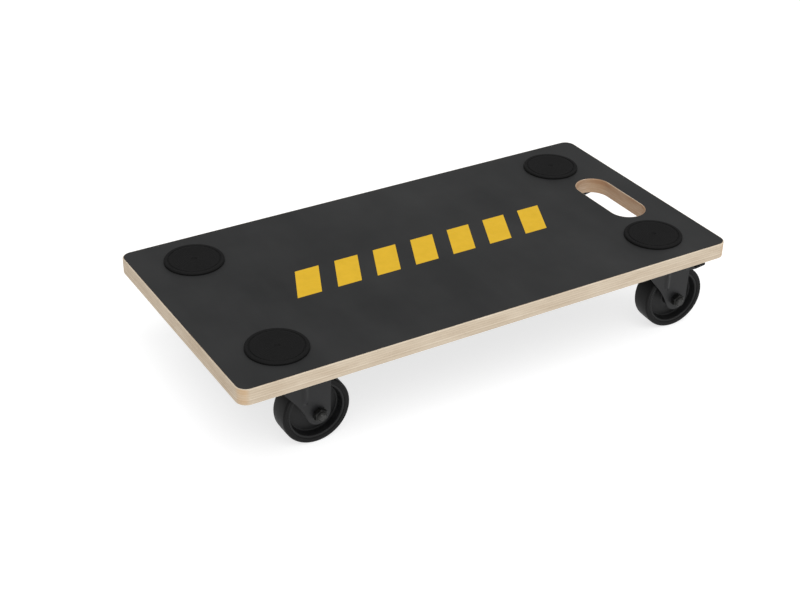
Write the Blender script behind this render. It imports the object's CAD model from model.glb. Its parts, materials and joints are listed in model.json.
"""Looks of the platform dolly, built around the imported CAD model. Lengths are in metres."""
import json
import math

import bmesh
import bpy
from mathutils import Matrix, Vector
from mathutils.geometry import tessellate_polygon


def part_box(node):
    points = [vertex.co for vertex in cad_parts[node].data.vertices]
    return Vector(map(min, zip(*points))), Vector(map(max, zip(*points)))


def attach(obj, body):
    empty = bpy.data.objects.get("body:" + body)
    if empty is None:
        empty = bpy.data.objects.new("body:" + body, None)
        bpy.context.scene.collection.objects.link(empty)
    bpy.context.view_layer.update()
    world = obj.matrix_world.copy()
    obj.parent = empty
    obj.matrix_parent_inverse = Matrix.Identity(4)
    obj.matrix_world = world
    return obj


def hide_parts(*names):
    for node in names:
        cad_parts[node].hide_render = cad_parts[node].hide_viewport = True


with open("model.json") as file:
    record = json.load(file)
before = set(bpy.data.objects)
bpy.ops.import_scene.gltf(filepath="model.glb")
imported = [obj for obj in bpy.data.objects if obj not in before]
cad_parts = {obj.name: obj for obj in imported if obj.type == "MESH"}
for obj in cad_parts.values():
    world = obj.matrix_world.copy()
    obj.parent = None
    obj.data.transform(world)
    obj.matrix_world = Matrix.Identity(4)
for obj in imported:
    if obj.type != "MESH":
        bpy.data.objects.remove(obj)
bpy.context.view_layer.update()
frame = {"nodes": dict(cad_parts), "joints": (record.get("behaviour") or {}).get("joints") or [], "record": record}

MM = 0.001
JOINTS = {joint["name"]: joint for joint in frame["joints"]}
CORNERS = ("front_left", "front_right", "back_right", "back_left")
STRAIGHT = "back_left"      # a castor whose sides lie along the axes, so that its boxes are true
BRAKED = [corner for corner in CORNERS if "brake_" + corner in JOINTS]
UP = Vector((0, 0, 1))
SHARP_ANGLE = math.radians(32)      # a mesh is smooth across any edge that bends less
SAME_PLACE = 0.002 * MM             # points of a mesh nearer than this are joined


# ---------- outlines ----------

def arc(x, y, r, start, end, steps):
    """Points on an arc about (x, y), between two angles in degrees."""
    angles = [math.radians(start + (end - start) * i / steps) for i in range(steps + 1)]
    return [(x + r * math.cos(a), y + r * math.sin(a)) for a in angles]


def circle(x, y, r, steps):
    return arc(x, y, r, 0, 360, steps)[:-1]


def round_rectangle(length, width, r, steps=12):
    """Outline of a rectangle about the origin with round corners, anticlockwise."""
    x, y = length / 2 - r, width / 2 - r
    corners = ((x, y, 0), (-x, y, 90), (-x, -y, 180), (x, -y, 270))
    return [p for cx, cy, a in corners for p in arc(cx, cy, r, a, a + 90, steps)]


def rounded(points, r, closed=True, steps=4):
    """A polygon or polyline whose corners become arcs. A point may bring its own radius."""
    count = len(points)
    result = []
    for i, point in enumerate(points):
        here = Vector(point[:2])
        radius = point[2] if len(point) > 2 else r
        if radius == 0 or (not closed and i in (0, count - 1)):
            result.append(tuple(here))
            continue
        to_last = Vector(points[i - 1][:2]) - here
        to_next = Vector(points[(i + 1) % count][:2]) - here
        room = 0.48 * min(to_last.length, to_next.length)
        to_last.normalize()
        to_next.normalize()
        half = math.acos(max(-1, min(1, to_last.dot(to_next)))) / 2
        if half > math.radians(88):
            result.append(tuple(here))
            continue
        cut = min(radius / math.tan(half), room)
        centre = here + (to_last + to_next).normalized() * (cut / math.cos(half))
        first = here + to_last * cut - centre
        last = here + to_next * cut - centre
        for k in range(steps + 1):
            spoke = first.lerp(last, k / steps).normalized() * first.length
            result.append(tuple(centre + spoke))
    return result


def inset(loop, distance):
    """The outline moved to its left by a distance, with mitred corners."""
    count = len(loop)
    result = []
    for i in range(count):
        here = Vector(loop[i])
        before = (here - Vector(loop[i - 1])).normalized()
        after = (Vector(loop[(i + 1) % count]) - here).normalized()
        left = Vector((-before.y - after.y, before.x + after.x))
        if left.length < 1e-9:
            left = Vector((-after.y, after.x))
        left.normalize()
        stretch = max(0.5, left.dot(Vector((-after.y, after.x))))
        result.append(tuple(here + left * (distance / stretch)))
    return result


# ---------- meshes ----------

class Shape:
    """Points and faces of one piece, gathered in a local frame before they become a mesh."""

    def __init__(self):
        self.points = []
        self.faces = []
        self.flat = []

    def ring(self, points):
        start = len(self.points)
        self.points += [Vector(p) for p in points]
        return list(range(start, len(self.points)))

    def face(self, corners, flat=False):
        self.faces.append(corners)
        self.flat.append(flat)

    def band(self, low, high, closed=True):
        count = len(low)
        for i in range(count if closed else count - 1):
            j = (i + 1) % count
            self.face([low[i], low[j], high[j], high[i]])

    def cap(self, loops):
        """A flat face inside the first loop, open where the other loops are."""
        corners = [i for loop in loops for i in loop]
        outline = [[self.points[i] for i in loop] for loop in loops]
        for triangle in tessellate_polygon(outline):
            self.face([corners[i] for i in triangle], flat=True)

    def turn(self, profile, place=Matrix(), steps=72, across_flats=None, closed=False):
        """Turns (radius, height) points about the local Z of place. across_flats cuts the
        turned shape to a hexagon."""
        rings = []
        for k in range(steps):
            angle = 2 * math.pi * k / steps
            limit = 1.0
            if across_flats:
                off_flat = (angle + math.pi / 6) % (math.pi / 3) - math.pi / 6
                limit = across_flats / 2 / math.cos(off_flat)
            radii = [min(r, limit) for r, _ in profile]
            rings.append(self.ring(
                place @ Vector((r * math.cos(angle), r * math.sin(angle), h))
                for r, (_, h) in zip(radii, profile)))
        for k in range(steps):
            self.band(rings[k], rings[(k + 1) % steps], closed)

    def plate(self, outer, holes, rim, place=Matrix()):
        """A flat piece with a rim. outer runs anticlockwise, and rim is a list of (inset,
        height) from the top face's edge round to the bottom face's."""
        loops = [outer] + [hole[::-1] for hole in holes]
        tops, bottoms = [], []
        for loop in loops:
            last = None
            for distance, height in rim:
                points = inset(loop, distance)
                this = self.ring(place @ Vector((x, y, height)) for x, y in points)
                if last:
                    self.band(last, this)
                else:
                    tops.append(this)
                last = this
            bottoms.append(last)
        self.cap(tops)
        self.cap(bottoms)

    def piece(self, name, place, body, material, replaced):
        """Makes the object, smooth but for its sharp edges, and lets it ride in place of the
        CAD nodes that it replaces."""
        mesh = bpy.data.meshes.new(name)
        mesh.from_pydata([place @ p for p in self.points], [], self.faces)
        mesh.polygons.foreach_set("use_smooth", [not flat for flat in self.flat])
        work = bmesh.new()
        work.from_mesh(mesh)
        bmesh.ops.remove_doubles(work, verts=work.verts, dist=SAME_PLACE)
        bmesh.ops.recalc_face_normals(work, faces=work.faces)
        for edge in work.edges:
            shared = len(edge.link_faces) == 2
            edge.smooth = shared and edge.calc_face_angle(0) < SHARP_ANGLE
        work.to_mesh(mesh)
        work.free()
        mesh.materials.append(material)
        made = bpy.data.objects.new(name, mesh)
        bpy.context.scene.collection.objects.link(made)
        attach(made, body)
        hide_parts(*replaced)
        return made


def round_rim(top, bottom, r, steps=5, lead=0.4 * MM):
    """Rim of a plate with both edges rounded, and a narrow flat lead onto each face."""
    upper = [(r - r * math.sin(a), top - r + r * math.cos(a))
             for a in (math.pi / 2 * i / steps for i in range(steps + 1))]
    lower = [(r - r * math.cos(a), bottom + r - r * math.sin(a))
             for a in (math.pi / 2 * i / steps for i in range(steps + 1))]
    return [(r + lead, top)] + upper + lower + [(r + lead, bottom)]


# ---------- places ----------

def castor_frame(corner):
    """Frame of a castor: its origin on the floor under the kingpin, X towards the axle and Y
    along the axle."""
    king = Vector(JOINTS["swivel_" + corner]["pos_m"])
    across = Vector(JOINTS["roll_" + corner]["axis"]).normalized()
    along = across.cross(UP)
    made = Matrix((along, across, UP)).transposed().to_4x4()
    made.translation = (king.x, king.y, 0)
    return made


def castor_box(kind):
    """Box of a node of the straight castor, in the castor's own frame."""
    low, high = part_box(f"{kind}_{STRAIGHT}")
    king = castor_frame(STRAIGHT).translation
    return low - king, high - king


def cross_frame(x, z):
    """Frame with its Z along the axle's direction, for shapes turned about a cross bar."""
    return Matrix.Translation((x, 0, z)) @ Matrix.Rotation(-math.pi / 2, 4, "X")


BOARD_LOW, BOARD_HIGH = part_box("deck_board")
FILM_LOW, FILM_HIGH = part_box("top_film")
DECK_TOP = FILM_HIGH.z
DECK_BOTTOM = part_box("bottom_film")[0].z
FILM_T = FILM_HIGH.z - FILM_LOW.z
EDGE_R = BOARD_HIGH.x - FILM_HIGH.x
CORNER_R = 12 * MM
SLOT_BOX = frame["record"]["physics"]["openings"][0]["box_m"]
SLOT_X = (SLOT_BOX[0][0] + SLOT_BOX[1][0]) / 2
SLOT_W = 41 * MM
SLOT_L = 102 * MM
PLIES = 13

AXLE = castor_frame(STRAIGHT).inverted() @ Vector(JOINTS["roll_" + STRAIGHT]["pos_m"])
LEG_IN = castor_box("axle_sleeve")[1].y
LEG_OUT = -castor_box("axle_nut")[1].y
CROWN_Z = JOINTS["swivel_" + STRAIGHT]["pos_m"][2]
LIP_TOP = castor_box("fork")[1].z
SHEET_T = 2.6 * MM          # of the fork
BOSS_R = 13 * MM            # of the leg's round foot, about the axle
SHANK_FRONT = -7 * MM       # of the leg's straight shank, at the crown
LEG_FRONT = -19.5 * MM      # of the leg's gusset, at the crown
LEG_REAR = 34 * MM
BRIDGE_FRONT = 12 * MM
KNEE = Vector((AXLE.x - 19 * MM, AXLE.z + 10.5 * MM))       # where the gusset leaves the shank
EAR = Vector((AXLE.x + 8 * MM, CROWN_Z - 8.3 * MM))         # middle of the round for the pedal
EAR_R = 6 * MM
KING_R = 5 * MM
KING_HOLE_R = 5.05 * MM
AXLE_R = 4 * MM
HEX_AF = 13 * MM            # of the bolt's head and its nut, across flats
HEX_R = HEX_AF / math.sqrt(3)
TYRE_LOW, TYRE_HIGH = castor_box("tyre")
WHEEL_R = (TYRE_HIGH.z - TYRE_LOW.z) / 2
WHEEL_HALF = TYRE_HIGH.y
RIM_R = WHEEL_R - 6 * MM    # where the tyre meets the wheel's centre

PEDAL_FRONT = AXLE.x + 19.5 * MM
PEDAL_END = AXLE.x + 34 * MM
PEDAL_TOP = AXLE.z + 35 * MM
PEDAL_BOTTOM = PEDAL_TOP - 2.6 * MM
PEDAL_T = 1.5 * MM          # of its sheet
CHEEK_IN = LEG_OUT + 0.3 * MM
CHEEK_OUT = CHEEK_IN + PEDAL_T
SIDE_VIEW = Matrix.Rotation(math.pi / 2, 4, "X")        # of outlines that are drawn as (x, z)


# ---------- materials ----------

class Paint:
    """A procedural material, whose nodes are added one after another."""

    def __init__(self, name, **sockets):
        self.material = bpy.data.materials.new(name)
        self.material.use_nodes = True
        self.tree = self.material.node_tree
        self.shader = self.tree.nodes["Principled BSDF"]
        coordinates = self.tree.nodes.new("ShaderNodeTexCoord")
        self.place = coordinates.outputs["Object"]
        self.facing = coordinates.outputs["Normal"]
        for socket, value in sockets.items():
            self.shader.inputs[socket.replace("_", " ")].default_value = value

    def add(self, kind, inputs=None, output=0, **settings):
        node = self.tree.nodes.new("ShaderNode" + kind)
        for key, value in settings.items():
            setattr(node, key, value)
        for key, value in (inputs or {}).items():
            if isinstance(value, bpy.types.NodeSocket):
                self.tree.links.new(value, node.inputs[key])
            else:
                node.inputs[key].default_value = value
        return node.outputs[output]

    def to(self, socket, value):
        self.tree.links.new(value, self.shader.inputs[socket])

    def noise(self, size, detail=3, rough=0.5, squeeze=(1, 1, 1)):
        """Noise with features of about a size in metres, divided by squeeze along each axis."""
        scaled = self.add("Mapping", {"Vector": self.place, "Scale": [s / size for s in squeeze]})
        return self.add("TexNoise", {"Vector": scaled, "Scale": 1, "Detail": detail,
                                     "Roughness": rough})

    def span(self, value, low, high, start=0.3, end=0.7):
        """A value from start to end, spread from low to high and kept between them."""
        return self.add("MapRange", {"Value": value, "From Min": start, "From Max": end,
                                     "To Min": low, "To Max": high})

    def part(self, vector, axis):
        """The X, Y or Z part of a vector, for axis 0, 1 or 2."""
        return self.add("SeparateXYZ", {0: vector}, output=axis)

    def math(self, operation, *values):
        return self.add("Math", dict(enumerate(values)), operation=operation)

    def mix(self, share, first, second):
        """Colour from first to second, by a share from 0 to 1."""
        return self.add("Mix", {0: share, 6: first, 7: second}, output=2, data_type="RGBA")

    def bump(self, height, distance, strength=1.0):
        self.to("Normal", self.add("Bump", {"Height": height, "Distance": distance,
                                            "Strength": strength}))


def rgb(red, green, blue):
    return (red, green, blue, 1)


def film_material():
    """Black phenolic film: smooth, with a fine grain and the faint smears of handling."""
    m = Paint("phenolic_film", Specular_IOR_Level=0.16)
    cloud = m.noise(180 * MM, 4, 0.55)
    smear = m.noise(40 * MM, 5, 0.6, (1, 0.25, 1))
    grain = m.noise(0.7 * MM, 2)
    tone = m.math("ADD", m.span(cloud, 0, 0.6), m.span(smear, 0, 0.4))
    m.to("Base Color", m.mix(tone, rgb(0.017, 0.0175, 0.018), rgb(0.040, 0.0402, 0.0404)))
    m.to("Roughness", m.math("ADD", m.span(smear, 0.46, 0.58), m.span(grain, 0, 0.08)))
    m.bump(grain, 0.03 * MM, 0.5)
    return m.material


def plywood_material():
    """Birch plywood edge: plies whose grain runs by turns along and across the board, browner
    round the corners, where all of them are cut across the grain, and in the routed slot."""
    m = Paint("birch_plywood", Roughness=0.62, Specular_IOR_Level=0.3)

    # plies from the bottom up, slightly wavy, with a glue line between each two
    ply_t = (DECK_TOP - DECK_BOTTOM) / PLIES
    height = m.part(m.place, 2)
    wander = m.span(m.noise(60 * MM, 2, 0.5, (1, 1, 0.3)), -0.12, 0.12)
    level = m.math("ADD", m.math("DIVIDE", m.math("SUBTRACT", height, DECK_BOTTOM), ply_t), wander)
    index = m.math("FLOOR", level)
    odd = m.math("FLOORED_MODULO", index, 2.0)
    from_middle = m.math("ABSOLUTE", m.math("SUBTRACT", m.math("FRACT", level), 0.5))
    glue = m.span(from_middle, 0, 1, 0.40, 0.49)
    ply_tone = m.add("TexWhiteNoise", {"W": index}, noise_dimensions="1D")

    # fibres, which run along X in even plies and along Y in odd ones
    fibre_x = m.noise(1.0 * MM, 4, 0.6, (0.03, 1, 1.6))
    fibre_y = m.noise(1.0 * MM, 4, 0.6, (1, 0.03, 1.6))
    pores = m.noise(0.35 * MM, 2, 0.6)
    fibre = m.math("ADD", m.math("MULTIPLY", fibre_x, m.math("SUBTRACT", 1.0, odd)),
                   m.math("MULTIPLY", fibre_y, odd))
    patch = m.noise(35 * MM, 3, 0.5, (1, 1, 4))

    # wood, darker in some plies and patches and on the board's short ends
    shade = m.math("ADD", m.span(fibre, 0, 0.30), m.span(patch, 0, 0.30))
    shade = m.math("ADD", shade, m.math("MULTIPLY", ply_tone, 0.20))
    shade = m.math("ADD", shade, m.math("MULTIPLY", odd, 0.20))
    end_face = m.span(m.math("ABSOLUTE", m.part(m.facing, 0)), 0, 0.22, 0.5, 0.95)
    shade = m.math("ADD", shade, end_face)
    base = m.mix(shade, rgb(0.76, 0.665, 0.53), rgb(0.46, 0.355, 0.245))

    # browner round the corners and in the slot, and brown along the glue lines
    diagonal = m.math("ABSOLUTE", m.math("MULTIPLY", m.part(m.facing, 0), m.part(m.facing, 1)))
    corner = m.math("MULTIPLY", m.span(diagonal, 0, 1, 0.12, 0.45), m.span(patch, 0.3, 0.8))
    base = m.mix(corner, base, rgb(0.58, 0.37, 0.19))
    from_slot_x = m.math("ABSOLUTE", m.math("SUBTRACT", m.part(m.place, 0), SLOT_X))
    from_slot_y = m.math("ABSOLUTE", m.part(m.place, 1))
    in_slot = m.math("MULTIPLY", m.math("LESS_THAN", from_slot_x, SLOT_W / 2 + EDGE_R / 2),
                     m.math("LESS_THAN", from_slot_y, SLOT_L / 2 + EDGE_R / 2))
    burn = m.math("MULTIPLY", in_slot, m.span(patch, 0.50, 0.95))
    base = m.mix(burn, base, rgb(0.37, 0.21, 0.115))
    base = m.mix(m.math("MULTIPLY", glue, 0.40), base, rgb(0.26, 0.17, 0.10))
    m.to("Base Color", base)

    raised = m.math("ADD", fibre, m.math("MULTIPLY", pores, 0.5))
    m.bump(m.math("SUBTRACT", raised, m.math("MULTIPLY", glue, 0.4)), 0.10 * MM, 0.6)
    return m.material


def marking_material():
    """Screen-printed yellow paint, thin enough to show a little of the film's grain."""
    m = Paint("yellow_print", Specular_IOR_Level=0.35)
    cover = m.noise(14 * MM, 4, 0.6)
    grain = m.noise(0.8 * MM, 2)
    shade = m.math("ADD", m.span(cover, 0, 0.5), m.span(grain, 0, 0.2))
    m.to("Base Color", m.mix(shade, rgb(0.83, 0.505, 0.014), rgb(0.70, 0.425, 0.014)))
    m.to("Roughness", m.span(cover, 0.42, 0.55))
    m.bump(grain, 0.03 * MM, 0.5)
    return m.material


def rubber_material(name, tone, rough, grain_size, grain_depth):
    """Black rubber with a matt moulded grain and a trace of bloom."""
    m = Paint(name, Specular_IOR_Level=0.12)
    bloom = m.noise(18 * MM, 4, 0.6)
    grain = m.noise(grain_size, 3, 0.6)
    shade = m.math("ADD", m.span(bloom, 0, 0.6), m.span(grain, 0, 0.4))
    pale = tone * 1.7
    m.to("Base Color", m.mix(shade, rgb(tone, tone, tone * 1.03), rgb(pale, pale, pale)))
    m.to("Roughness", m.span(bloom, rough - 0.06, rough + 0.06))
    m.bump(grain, grain_depth, 0.7)
    return m.material


def black_steel_material():
    """Satin black coating on pressed steel, with a fine orange peel."""
    m = Paint("black_coated_steel", Specular_IOR_Level=0.28)
    peel = m.noise(1.1 * MM, 2, 0.5)
    cloud = m.noise(22 * MM, 3)
    m.to("Base Color", m.mix(m.span(cloud, 0, 1), rgb(0.009, 0.0093, 0.010),
                             rgb(0.015, 0.0153, 0.016)))
    m.to("Roughness", m.math("ADD", m.span(cloud, 0.34, 0.44), m.span(peel, 0, 0.06)))
    m.bump(peel, 0.035 * MM, 0.6)
    return m.material


def zinc_material():
    """Bright zinc plate, slightly yellow and blue in patches."""
    m = Paint("zinc_plate", Metallic=1.0)
    patch = m.noise(6 * MM, 3)
    brushed = m.noise(0.5 * MM, 3, 0.6)
    m.to("Base Color", m.mix(m.span(patch, 0, 1), rgb(0.56, 0.57, 0.60), rgb(0.62, 0.60, 0.52)))
    m.to("Roughness", m.math("ADD", m.span(patch, 0.22, 0.34), m.span(brushed, 0, 0.10)))
    m.bump(brushed, 0.02 * MM, 0.5)
    return m.material


def black_oxide_material(name, tone):
    """Blackened steel, lightly oiled, with the metal showing a little through."""
    m = Paint(name, Metallic=0.6, Specular_IOR_Level=0.3)
    patch = m.noise(3 * MM, 3)
    brushed = m.noise(0.4 * MM, 3, 0.6)
    m.to("Base Color", m.mix(m.span(patch, 0, 1), rgb(tone, tone, tone),
                             rgb(1.8 * tone, 1.8 * tone, 1.7 * tone)))
    m.to("Roughness", m.math("ADD", m.span(patch, 0.30, 0.42), m.span(brushed, 0, 0.10)))
    m.bump(brushed, 0.02 * MM, 0.5)
    return m.material


def ball_material():
    """Polished bearing steel under a film of grease."""
    m = Paint("bearing_steel", Metallic=1.0, Coat_Weight=0.4, Coat_Roughness=0.2)
    grease = m.noise(2.5 * MM, 3)
    m.to("Base Color", m.mix(m.span(grease, 0, 1), rgb(0.60, 0.60, 0.61), rgb(0.36, 0.33, 0.27)))
    m.to("Roughness", m.span(grease, 0.12, 0.35))
    return m.material


def wheel_plastic_material():
    """Moulded black polypropylene with faint flow marks."""
    m = Paint("moulded_polypropylene", Specular_IOR_Level=0.22)
    flow = m.noise(9 * MM, 4, 0.6)
    grain = m.noise(0.5 * MM, 2)
    m.to("Base Color", m.mix(m.span(flow, 0, 1), rgb(0.006, 0.0062, 0.0066),
                             rgb(0.011, 0.0112, 0.0116)))
    m.to("Roughness", m.math("ADD", m.span(flow, 0.34, 0.46), m.span(grain, 0, 0.06)))
    m.bump(grain, 0.025 * MM, 0.5)
    return m.material


FILM = film_material()
PLYWOOD = plywood_material()
YELLOW = marking_material()
PAD_RUBBER = rubber_material("pad_rubber_grain", 0.006, 0.7, 0.6 * MM, 0.05 * MM)
TYRE_RUBBER = rubber_material("tyre_rubber_grain", 0.006, 0.5, 0.9 * MM, 0.04 * MM)
BLACK_STEEL = black_steel_material()
ZINC = zinc_material()
BLACK_OXIDE = black_oxide_material("black_oxide", 0.032)
NUT_OXIDE = black_oxide_material("nut_oxide", 0.014)
BEARING = ball_material()
PLASTIC = wheel_plastic_material()


# ---------- board ----------

def board_outline(gap=0.0):
    """Outline of the board, moved in by a gap."""
    size = BOARD_HIGH - BOARD_LOW
    return round_rectangle(size.x - 2 * gap, size.y - 2 * gap, CORNER_R - gap)


def slot_outline(grow=0.0):
    """Outline of the carry slot, grown by a distance."""
    end_r = SLOT_W / 2 + grow - 0.01 * MM
    outline = round_rectangle(SLOT_W + 2 * grow, SLOT_L + 2 * grow, end_r, 16)
    return [(x + SLOT_X, y) for x, y in outline]


def deck_core():
    """The plywood, rounded over along its edges up to the films that lie in its faces."""
    shape = Shape()
    edge = round_rim(DECK_TOP, DECK_BOTTOM, EDGE_R, steps=7)[1:-1]
    top_bed, bottom_bed = DECK_TOP - FILM_T, DECK_BOTTOM + FILM_T
    rim = [(EDGE_R, top_bed)] + edge + [(EDGE_R, bottom_bed)]
    shape.plate(board_outline(), [slot_outline()], rim)
    shape.piece("deck_core", Matrix(), "board", PLYWOOD, ["deck_board"])


def deck_film(name, low, high, replaced):
    """A film in the board's face, its cut edge softened."""
    gap = EDGE_R + 0.03 * MM
    shape = Shape()
    rim = round_rim(high, low, 0.08 * MM, steps=2, lead=0.3 * MM)
    shape.plate(board_outline(gap), [slot_outline(gap)], rim)
    shape.piece(name, Matrix(), "board", FILM, [replaced])


def rubber_pad(corner):
    """Round pad: a bevelled rim, a groove inside it, fine rings and a dimple."""
    low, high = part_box("pad_" + corner)
    r, t = (high.x - low.x) / 2, high.z - low.z
    dimple_r, dimple_t = 2.5 * MM, 1.0 * MM
    groove_r, groove_t, groove_half = r - 4.5 * MM, 0.8 * MM, 0.9 * MM
    bevel_w, bevel_t = 0.9 * MM, 1.1 * MM
    profile = [(0, t - dimple_t), (dimple_r, t - dimple_t), (dimple_r + 0.8 * MM, t)]
    ring_step, ring_t = 2.4 * MM, 0.22 * MM
    x = dimple_r + 3 * MM
    while x + ring_step < groove_r - groove_half - 1 * MM:
        profile += [(x, t), (x + ring_step * 0.3, t - ring_t), (x + ring_step * 0.6, t)]
        x += ring_step
    profile += [
        (groove_r - groove_half, t),
        (groove_r - groove_half * 0.5, t - groove_t),
        (groove_r + groove_half * 0.5, t - groove_t),
        (groove_r + groove_half, t),
        (r - bevel_w, t),
        (r, t - bevel_t),
        (r, 0),
        (0, 0),
    ]
    shape = Shape()
    shape.turn(rounded(profile, 0.35 * MM, closed=False, steps=3), steps=96)
    centre = Matrix.Translation(((low.x + high.x) / 2, (low.y + high.y) / 2, low.z))
    shape.piece("rubber_pad_" + corner, centre, "board", PAD_RUBBER,
                ["pad_" + corner])


# ---------- castor: plate, kingpin and race ----------

def mounting_plate(corner, place):
    low, high = castor_box("castor_plate")
    side, corner_r = high.x - low.x, 6 * MM
    hole_off, hole_r = 25 * MM, 2.75 * MM
    holes = [circle(x * hole_off, y * hole_off, hole_r, 32) for x in (-1, 1) for y in (-1, 1)]
    outline = round_rectangle(side, side, corner_r, 8)
    shape = Shape()
    shape.plate(outline, holes, round_rim(high.z, low.z, 0.6 * MM, 3))
    shape.piece("mounting_plate_" + corner, place, "board", BLACK_STEEL,
                ["castor_plate_" + corner])


def king_rivet(corner, place):
    """Kingpin with its foot spun over under the lower race."""
    low, high = castor_box("kingpin")
    foot_r, foot_top = high.x, castor_box("lower_race")[0].z
    head_r, head_t = 8 * MM, 2.5 * MM
    dimple_r, dimple_t = 2 * MM, 0.6 * MM
    profile = [
        (0, low.z + dimple_t),
        (dimple_r, low.z + dimple_t),
        (dimple_r + dimple_t, low.z),
        (foot_r - 2 * MM, low.z),
        (foot_r, low.z + 1.6 * MM),
        (foot_r, foot_top),
        (KING_R, foot_top),
        (KING_R, high.z - head_t),
        (head_r, high.z),
        (0, high.z),
    ]
    shape = Shape()
    shape.turn(rounded(profile, 0.5 * MM, closed=False), steps=56)
    shape.piece("king_rivet_" + corner, place, "board", ZINC, ["kingpin_" + corner])


def race_ring(corner, place):
    """Lower race, a ring with the groove that its balls run in."""
    low, high = castor_box("lower_race")
    r = high.x
    groove_r, groove_half, groove_t = 10.5 * MM, 1.5 * MM, 0.4 * MM
    profile = [
        (KING_HOLE_R, low.z),
        (r, low.z),
        (r, high.z),
        (groove_r + groove_half, high.z),
        (groove_r, high.z - groove_t),
        (groove_r - groove_half, high.z),
        (KING_HOLE_R, high.z),
    ]
    shape = Shape()
    shape.turn(rounded(profile, 0.4 * MM), steps=56, closed=True)
    shape.piece("race_ring_" + corner, place, "board", ZINC, ["lower_race_" + corner])


# ---------- castor: fork and axle ----------

def soft_min(first, second, blend):
    """The lesser of two values, rounded off where they come within a distance of each other."""
    share = min(1, max(0, 0.5 + 0.5 * (second - first) / blend))
    return second + (first - second) * share - blend * share * (1 - share)


def leg_edges(z):
    """Front and rear edge of a fork leg at a height. The shank's straight sides are tangent to
    the boss, and a gusset runs forward from the knee to the crown."""
    boss = math.sqrt(max(0, BOSS_R ** 2 - (z - AXLE.z) ** 2))
    centre = Vector((AXLE.x, AXLE.z))
    shank_top = Vector((SHANK_FRONT, CROWN_Z))
    reach = centre - shank_top
    tilt = math.atan2(reach.y, reach.x) - math.asin(BOSS_R / reach.length)
    touch = centre + BOSS_R * Vector((math.cos(tilt - math.pi / 2), math.sin(tilt - math.pi / 2)))
    if z <= touch.y:
        front = AXLE.x - boss
    else:
        front = touch.x + (z - touch.y) / (CROWN_Z - touch.y) * (SHANK_FRONT - touch.x)
    gusset = KNEE.x + (z - KNEE.y) / (CROWN_Z - KNEE.y) * (LEG_FRONT - KNEE.x)
    front = soft_min(front, gusset, 3 * MM)
    if z < AXLE.z:
        return front, AXLE.x + boss
    if z < EAR.y:
        share = (z - AXLE.z) / (EAR.y - AXLE.z)
        return front, AXLE.x + BOSS_R + share * (EAR.x + EAR_R - AXLE.x - BOSS_R)
    return front, max(LEG_REAR, EAR.x + math.sqrt(max(0, EAR_R ** 2 - (z - EAR.y) ** 2)))


def fork_sheet():
    """Rows of points across the bent sheet, from the foot of one leg over the bridge to the
    foot of the other. Each row is (y, z, front, rear) on the sheet's middle."""
    half_t = (LEG_OUT - LEG_IN) / 2
    leg_y = LEG_OUT - half_t
    bridge_z = CROWN_Z + SHEET_T / 2
    bend_r = 3.2 * MM
    foot_steps, leg_steps, bend_steps = 12, 32, 8
    rows = []
    for i in range(foot_steps + 1):
        z = AXLE.z - (BOSS_R - 0.02 * MM) * math.cos(math.pi / 2 * i / foot_steps)
        rows.append((leg_y, z, *leg_edges(z)))
    top = bridge_z - bend_r
    for i in range(1, leg_steps + 1):
        z = AXLE.z + (top - AXLE.z) * i / leg_steps
        rows.append((leg_y, z, *leg_edges(z)))
    for i in range(1, bend_steps + 1):
        a = math.pi / 2 * i / bend_steps
        y = leg_y - bend_r + bend_r * math.cos(a)
        z = top + bend_r * math.sin(a)
        rows.append((y, z, LEG_FRONT + (BRIDGE_FRONT - LEG_FRONT) * i / bend_steps, LEG_REAR))
    middle = [(0, bridge_z, BRIDGE_FRONT, LEG_REAR)]
    return rows + middle + [(-y, z, front, rear) for y, z, front, rear in rows[::-1]]


def soft_step(share):
    return share * share * (3 - 2 * share)


def pressed_out(x, z):
    """How far the fork's leg is pressed outwards at a place: a bead stands out along its
    shank, and the gusset is drawn in towards its front."""
    bead_x, bead_half, bead_t, run_out = 15 * MM, 2.6 * MM, 1.2 * MM, 3 * MM
    bead_low, bead_high = 52 * MM, CROWN_Z - 3 * MM
    draw_t = 1.1 * MM
    across = max(0, 1 - abs((x - bead_x) / bead_half) ** 2)
    ends = min(1, max(0, (z - bead_low) / run_out), max(0, (bead_high - z) / run_out))
    forward = min(1, max(0, (BRIDGE_FRONT - x) / (BRIDGE_FRONT - LEG_FRONT)))
    return bead_t * soft_step(across) * soft_step(ends) - draw_t * forward ** 2


def fork_shell(corner, place):
    """Pressed fork: two legs and the bridge bent from one sheet, and the round crown that
    holds the upper balls."""
    columns = 30
    shape = Shape()
    last = None
    for y, z, front, rear in fork_sheet():
        row = []
        for k in range(columns + 1):
            x = front + (rear - front) * k / columns
            row.append((x, y + math.copysign(pressed_out(x, z), y) if y else y, z))
        this = shape.ring(row)
        if last:
            shape.band(last, this, closed=False)
        last = this
    sheet = shape.piece("fork_sheet_" + corner, place, "swivel_" + corner,
                        BLACK_STEEL, ["fork_" + corner])
    solid = sheet.modifiers.new("sheet", "SOLIDIFY")
    solid.thickness = LEG_OUT - LEG_IN
    solid.offset = 0
    solid.use_even_offset = True
    soft = sheet.modifiers.new("edges", "BEVEL")
    soft.width = 0.5 * MM
    soft.segments = 3
    soft.limit_method = "ANGLE"
    soft.angle_limit = math.radians(50)
    crown_cup(corner, place)


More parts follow.
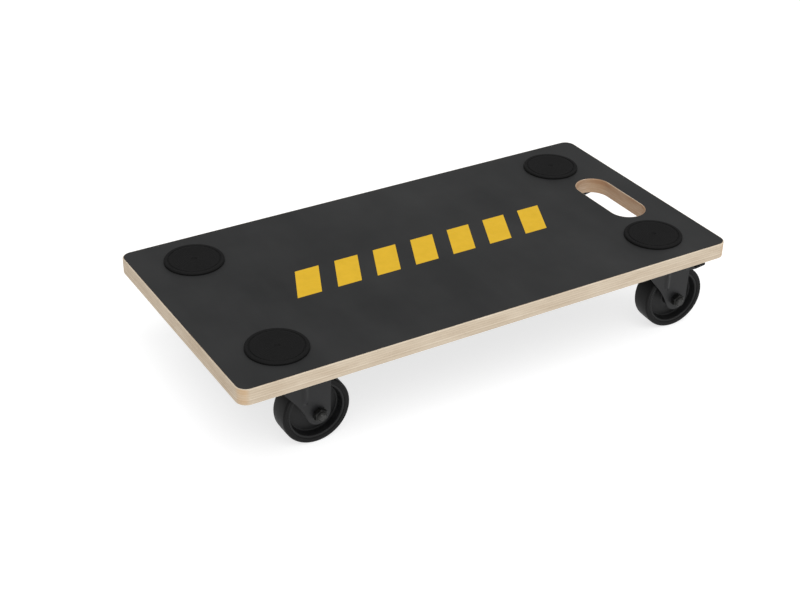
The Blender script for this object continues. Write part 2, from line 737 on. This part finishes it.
def crown_cup(corner, place):
    """The round crown of the fork, turned up into a lip round the upper balls."""
    r, lip_t = 25 * MM, 2 * MM
    top = CROWN_Z + SHEET_T
    profile = [
        (KING_HOLE_R, CROWN_Z),
        (r - 2.5 * MM, CROWN_Z, 1 * MM),
        (r, CROWN_Z + 2 * MM, 1.6 * MM),
        (r, LIP_TOP),
        (r - lip_t, LIP_TOP),
        (r - lip_t, top + 1 * MM, 1.2 * MM),
        (r - 2 * lip_t, top, 1 * MM),
        (KING_HOLE_R, top),
    ]
    shape = Shape()
    shape.turn(rounded(profile, 0.5 * MM), steps=80, closed=True)
    shape.piece("crown_cup_" + corner, place, "swivel_" + corner, BLACK_STEEL,
                ["fork_" + corner])


def axle_screw(corner, place):
    """Hexagon bolt through the legs and the wheel, its tip chamfered."""
    low, high = castor_box("axle_bolt")
    axis = cross_frame(AXLE.x, AXLE.z)
    seat = LEG_OUT + 0.1 * MM
    washer_top, tip = seat + 0.4 * MM, 1.1 * MM
    head = [
        (AXLE_R, seat),
        (HEX_AF / 2, seat),
        (HEX_AF / 2, washer_top, 0),
        (HEX_R, washer_top + 0.4 * MM, 0),
        (HEX_R, high.y - 0.7 * MM, 0),
        (HEX_AF / 2, high.y, 0.2 * MM),
        (0, high.y),
    ]
    shank = [(0, low.y), (AXLE_R - tip, low.y), (AXLE_R, low.y + tip), (AXLE_R, seat + 0.1 * MM)]
    shape = Shape()
    shape.turn(rounded(head, 0.2 * MM, closed=False, steps=3), axis, 72, HEX_AF)
    shape.turn(shank, axis, 40)
    shape.piece("axle_screw_" + corner, place, "swivel_" + corner, BLACK_OXIDE,
                ["axle_bolt_" + corner])


def lock_nut(corner, place):
    """Hexagon nut with the round collar that holds its locking ring."""
    end = castor_box("axle_nut")[0].y
    axis = cross_frame(AXLE.x, AXLE.z)
    collar_r, hole_r = HEX_AF / 2 - 0.8 * MM, AXLE_R + 0.05 * MM
    profile = [
        (AXLE_R, -LEG_OUT),
        (HEX_AF / 2, -LEG_OUT, 0.2 * MM),
        (HEX_R, -LEG_OUT - 0.7 * MM, 0),
        (HEX_R, end + 2.6 * MM, 0),
        (HEX_AF / 2, end + 2.0 * MM, 0.2 * MM),
        (collar_r, end + 1.7 * MM, 0.3 * MM),
        (collar_r - 0.2 * MM, end, 0.8 * MM),
        (hole_r, end, 0.2 * MM),
        (hole_r, end + 1.5 * MM),
    ]
    shape = Shape()
    shape.turn(rounded(profile, 0.2 * MM, closed=False, steps=3), axis, 72, HEX_AF)
    shape.piece("lock_nut_" + corner, place, "swivel_" + corner, NUT_OXIDE,
                ["axle_nut_" + corner])


# ---------- wheel ----------

def mirrored(half):
    """Half of a profile, followed by its mirror image on the other side of the middle."""
    return half + [(point[0], -point[1], *point[2:]) for point in half[::-1]]


def wheel_centre(corner, place):
    """Moulded hub, dished web and rim."""
    bore_r, hub_r, hub_half = 6.05 * MM, 9.6 * MM, castor_box("wheel_core")[1].y
    rim_half = WHEEL_HALF - 1 * MM
    half = [
        (bore_r, hub_half, 0.3 * MM),
        (hub_r, hub_half, 0.6 * MM),
        (hub_r + 0.9 * MM, hub_half - 5 * MM, 1 * MM),
        (hub_r + 1.3 * MM, 4.6 * MM, 1.4 * MM),
        (18 * MM, 3.2 * MM, 3 * MM),
        (RIM_R - 3.9 * MM, 2.5 * MM, 1.6 * MM),
        (RIM_R - 2.3 * MM, rim_half - 0.6 * MM, 0.5 * MM),
        (RIM_R - 1.7 * MM, rim_half, 0.4 * MM),
        (RIM_R, rim_half, 0.2 * MM),
    ]
    shape = Shape()
    shape.turn(rounded(mirrored(half), 0.5 * MM, steps=5), cross_frame(AXLE.x, AXLE.z), 96,
               closed=True)
    shape.piece("wheel_centre_" + corner, place, "wheel_" + corner, PLASTIC,
                ["wheel_core_" + corner])


def tyre_band(corner, place):
    """Tyre with square shoulders and a slightly crowned tread."""
    half = [
        (RIM_R, WHEEL_HALF - 0.9 * MM, 0.2 * MM),
        (RIM_R + 1.0 * MM, WHEEL_HALF - 0.1 * MM, 0.5 * MM),
        (WHEEL_R - 1.4 * MM, WHEEL_HALF, 0.8 * MM),
        (WHEEL_R - 0.15 * MM, WHEEL_HALF - 1.6 * MM, 1.2 * MM),
        (WHEEL_R, 4 * MM, 4 * MM),
        (WHEEL_R, 0.25 * MM, 0),
    ]
    shape = Shape()
    shape.turn(rounded(mirrored(half), 1 * MM, steps=6), cross_frame(AXLE.x, AXLE.z), 120,
               closed=True)
    shape.piece("tyre_band_" + corner, place, "wheel_" + corner, TYRE_RUBBER,
                ["tyre_" + corner])


# ---------- brake ----------

def pedal_cheeks(shape, pivot):
    """The pedal's two sides, round about its pin and tapering back along the foot plate."""
    taper = [
        (PEDAL_FRONT, PEDAL_BOTTOM),
        (PEDAL_END - 3.6 * MM, PEDAL_BOTTOM),
        (PEDAL_END - 3 * MM, PEDAL_TOP - 1 * MM),
        (PEDAL_FRONT, PEDAL_TOP - 0.6 * MM),
    ]
    eye = arc(pivot.x, pivot.z, 5 * MM, 39, 256, 18)
    outline = eye + rounded(taper, 0.5 * MM, closed=False)
    for low, high in ((-CHEEK_OUT, -CHEEK_IN), (CHEEK_IN, CHEEK_OUT)):
        shape.plate(outline, [], round_rim(-low, -high, 0.4 * MM, 3, 0.1 * MM), SIDE_VIEW)


def foot_plate(shape):
    """The plate for the foot, its edge turned down, with three ribs for grip."""
    length, corner_r, lead = PEDAL_END - PEDAL_FRONT, 3 * MM, 2.8 * MM
    outline = [(0, -CHEEK_OUT)]
    outline += arc(length - corner_r, corner_r - CHEEK_OUT, corner_r, -90, 0, 8)
    outline += arc(length - corner_r, CHEEK_OUT - corner_r, corner_r, 0, 90, 8)
    outline += [(0, CHEEK_OUT)]
    edge = [
        (lead, PEDAL_TOP),
        (1.2 * MM, PEDAL_TOP),
        (0.6 * MM, PEDAL_TOP - 0.12 * MM),
        (0.12 * MM, PEDAL_TOP - 0.6 * MM),
        (0, PEDAL_TOP - 1.2 * MM),
        (0, PEDAL_BOTTOM + 0.3 * MM),
        (0.3 * MM, PEDAL_BOTTOM),
        (1.2 * MM, PEDAL_BOTTOM),
        (PEDAL_T, PEDAL_BOTTOM + 0.3 * MM),
        (PEDAL_T, PEDAL_TOP - PEDAL_T - 0.3 * MM),
        (PEDAL_T + 0.3 * MM, PEDAL_TOP - PEDAL_T),
        (lead, PEDAL_TOP - PEDAL_T),
    ]
    shape.plate(outline, [], edge, Matrix.Translation((PEDAL_FRONT, 0, 0)))
    rib_w, rib_h, rib_start, rib_pitch = 1.4 * MM, 0.45 * MM, 4 * MM, 3.2 * MM
    rib = round_rectangle(rib_w, 2 * CHEEK_OUT - 12 * MM, rib_w / 2 - 0.01 * MM, 6)
    rib_rim = round_rim(PEDAL_TOP + rib_h, PEDAL_TOP - 0.5 * MM, 0.35 * MM, 3, 0.05 * MM)
    for k in range(3):
        place = Matrix.Translation((PEDAL_FRONT + rib_start + rib_pitch * k, 0, 0))
        shape.plate(rib, [], rib_rim, place)


def brake_shoe(shape):
    """The block under the foot plate, hollowed to the tyre's round."""
    half_w, rear, top = 10 * MM, AXLE.x + 27 * MM, PEDAL_TOP - PEDAL_T + 0.3 * MM
    hollow_r = AXLE.z + 0.5 * MM
    start = math.degrees(math.acos((PEDAL_FRONT - AXLE.x) / hollow_r))
    outline = [(x, z, 0) for x, z in arc(AXLE.x, AXLE.z, hollow_r, start, 50, 8)]
    outline += [(rear, outline[-1][1]), (rear, top), (PEDAL_FRONT, top)]
    shape.plate(rounded(outline, 0.5 * MM), [], round_rim(half_w, -half_w, 0.5 * MM, 3, 0.1 * MM),
                SIDE_VIEW)


def foot_pedal(corner, place, pivot):
    """Pressed foot pedal with its cheeks and shoe, drawn as pressed down and then raised."""
    travel = math.radians(JOINTS["brake_" + corner]["range_deg"][1])
    raised = (Matrix.Translation((pivot.x, 0, pivot.z)) @ Matrix.Rotation(-travel, 4, "Y")
              @ Matrix.Translation((-pivot.x, 0, -pivot.z)))
    shape = Shape()
    pedal_cheeks(shape, pivot)
    foot_plate(shape)
    brake_shoe(shape)
    shape.piece("foot_pedal_" + corner, place @ raised, "pedal_" + corner,
                BLACK_STEEL, ["brake_pedal_" + corner])


def pedal_rivet(corner, place, pivot):
    """The pedal's pin, with a domed head at each end."""
    pin_r, head_r, seat = 1.75 * MM, 3.2 * MM, CHEEK_OUT + 0.3 * MM
    half = [
        (0, seat + 1.2 * MM),
        (2 * MM, seat + 1.1 * MM),
        (head_r, seat + 0.4 * MM, 0.4 * MM),
        (head_r, seat),
        (pin_r, seat),
    ]
    shape = Shape()
    shape.turn(rounded(mirrored(half), 0.2 * MM, closed=False, steps=3),
               cross_frame(pivot.x, pivot.z), 32)
    shape.piece("pedal_rivet_" + corner, place, "swivel_" + corner, BLACK_STEEL,
                ["pedal_pin_" + corner])


# ---------- CAD nodes that stay in sight ----------

def dress_cad_node(name, material):
    """Gives a CAD node a material."""
    node = frame["nodes"][name]
    node.data.materials.clear()
    node.data.materials.append(material)


# ---------- stage ----------

def floor():
    mesh = bpy.data.meshes.new("studio_floor")
    half = 30
    mesh.from_pydata([(-half, -half, 0), (half, -half, 0), (half, half, 0), (-half, half, 0)], [],
                     [(0, 1, 2, 3)])
    m = Paint("studio_white", Roughness=0.9, Specular_IOR_Level=0.1, Emission_Strength=0.72)
    m.shader.inputs["Emission Color"].default_value = rgb(1, 1, 1)
    tone = m.span(m.noise(0.8), 0, 1)
    m.to("Base Color", m.mix(tone, rgb(0.46, 0.46, 0.46), rgb(0.48, 0.48, 0.48)))
    mesh.materials.append(m.material)
    made = bpy.data.objects.new("studio_floor", mesh)
    bpy.context.scene.collection.objects.link(made)


def sun(name, azimuth, elevation, spread, strength):
    """A broad soft light from a compass direction, 0 from the front and 90 from the right."""
    data = bpy.data.lights.new(name, "SUN")
    data.angle = math.radians(spread)
    data.energy = strength
    lamp = bpy.data.objects.new(name, data)
    bpy.context.scene.collection.objects.link(lamp)
    a, e = math.radians(azimuth), math.radians(elevation)
    source = Vector((math.sin(a) * math.cos(e), -math.cos(a) * math.cos(e), math.sin(e)))
    lamp.rotation_euler = source.to_track_quat("Z", "Y").to_euler()


def studio_light():
    world = bpy.data.worlds.new("studio")
    bpy.context.scene.world = world
    world.use_nodes = True
    world.node_tree.nodes["Background"].inputs["Color"].default_value = rgb(1, 1, 1)
    world.node_tree.nodes["Background"].inputs["Strength"].default_value = 0.42
    sun("key", -30, 62, 50, 1.5)
    sun("fill", 40, 50, 70, 0.5)
    bpy.context.scene.view_settings.view_transform = "Standard"


def camera():
    """The view of the photograph: the direction it looks in, where it looks and its lens."""
    azimuth, elevation, roll = math.radians(31.45), math.radians(31.18), math.radians(1.19)
    target, distance, lens = Vector((-0.082, -0.078, DECK_TOP)), 1.538, 68.1
    level = math.cos(elevation)
    ahead = Vector((math.sin(azimuth) * level, math.cos(azimuth) * level, -math.sin(elevation)))
    turn = Matrix.Rotation(roll, 4, "Z")
    data = bpy.data.cameras.new("camera")
    data.lens = lens
    data.sensor_width = 36
    made = bpy.data.objects.new("camera", data)
    bpy.context.scene.collection.objects.link(made)
    facing = ahead.to_track_quat("-Z", "Y").to_matrix().to_4x4()
    made.matrix_world = Matrix.Translation(target - ahead * distance) @ facing @ turn
    bpy.context.scene.camera = made


# ---------- the whole dolly ----------

camera()
studio_light()
floor()

deck_core()
deck_film("film_top", FILM_LOW.z, FILM_HIGH.z, "top_film")
deck_film("film_bottom", DECK_BOTTOM, DECK_BOTTOM + FILM_T, "bottom_film")
dress_cad_node("deck_marking", YELLOW)

for corner in CORNERS:
    place = castor_frame(corner)
    rubber_pad(corner)
    mounting_plate(corner, place)
    king_rivet(corner, place)
    race_ring(corner, place)
    fork_shell(corner, place)
    axle_screw(corner, place)
    lock_nut(corner, place)
    wheel_centre(corner, place)
    tyre_band(corner, place)
    dress_cad_node("plate_screws_" + corner, ZINC)
    dress_cad_node("swivel_balls_" + corner, BEARING)
    dress_cad_node("axle_sleeve_" + corner, ZINC)

for corner in BRAKED:
    place = castor_frame(corner)
    pivot = place.inverted() @ Vector(JOINTS["brake_" + corner]["pos_m"])
    foot_pedal(corner, place, pivot)
    pedal_rivet(corner, place, pivot)
